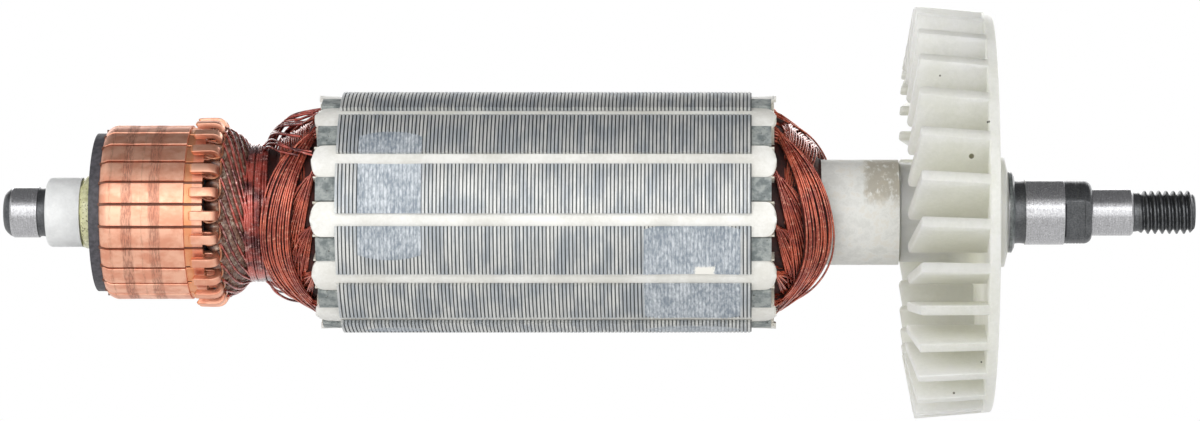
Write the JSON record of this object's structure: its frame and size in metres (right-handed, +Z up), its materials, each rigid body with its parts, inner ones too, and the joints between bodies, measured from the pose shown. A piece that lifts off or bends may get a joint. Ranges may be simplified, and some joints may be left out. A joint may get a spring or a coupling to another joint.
{
  "type": "motor armature",
  "caption": "Wound rotor of a universal motor: shaft with bearing journals and threaded end, copper commutator, laminated core with winding, and a radial fan.",
  "frame": {"origin": "centre of the drive-end bearing journal, on the shaft's axis", "axes": "+X along the shaft towards the threaded end, +Z up, -Y to the front"},
  "size_m": [0.165, 0.0572, 0.0571],
  "materials": {
    "shaft": "ground journals, turned between them",
    "collar": "smooth moulded",
    "resin": "cured drop, glossy",
    "hub": "moulded phenolic",
    "copper": "turned copper with brush wear",
    "wire": "enamelled, varnished",
    "lead_resin": "wires bonded with resin",
    "sleeve": "mottled, varnish at one end",
    "end_plate": "pressed board",
    "core": "stamped sheets, milled balance cuts",
    "liner": "slot paper",
    "wedge": "smooth film",
    "fan": "moulded nylon, slightly translucent",
    "washer": "blackened"
  },
  "bodies": {
    "root": {"shaft": "shaft", "rear_collar": "collar", "resin_ring": "resin", "commutator_hub": "hub", "commutator_bar_01": "copper", "commutator_bar_02": "copper", "commutator_bar_03": "copper", "commutator_bar_04": "copper", "commutator_bar_05": "copper", "commutator_bar_06": "copper", "commutator_bar_07": "copper", "commutator_bar_08": "copper", "commutator_bar_09": "copper", "commutator_bar_10": "copper", "commutator_bar_11": "copper", "commutator_bar_12": "copper", "commutator_bar_13": "copper", "commutator_bar_14": "copper", "commutator_bar_15": "copper", "commutator_bar_16": "copper", "commutator_bar_17": "copper", "commutator_bar_18": "copper", "commutator_bar_19": "copper", "commutator_bar_20": "copper", "commutator_bar_21": "copper", "commutator_bar_22": "copper", "commutator_bar_23": "copper", "commutator_bar_24": "copper", "lead_wires": "wire", "lead_bundle": "lead_resin", "rear_sleeve": "sleeve", "rear_end_insulator": "end_plate", "lamination_stack": "core", "slot_liners": "liner", "slot_wedges": "wedge", "front_end_insulator": "end_plate", "coil_01": "wire", "coil_02": "wire", "coil_03": "wire", "coil_04": "wire", "coil_05": "wire", "coil_06": "wire", "coil_07": "wire", "coil_08": "wire", "coil_09": "wire", "coil_10": "wire", "coil_11": "wire", "coil_12": "wire", "front_sleeve": "sleeve", "fan": "fan", "fan_washer": "washer"}
  },
  "joints": []
}
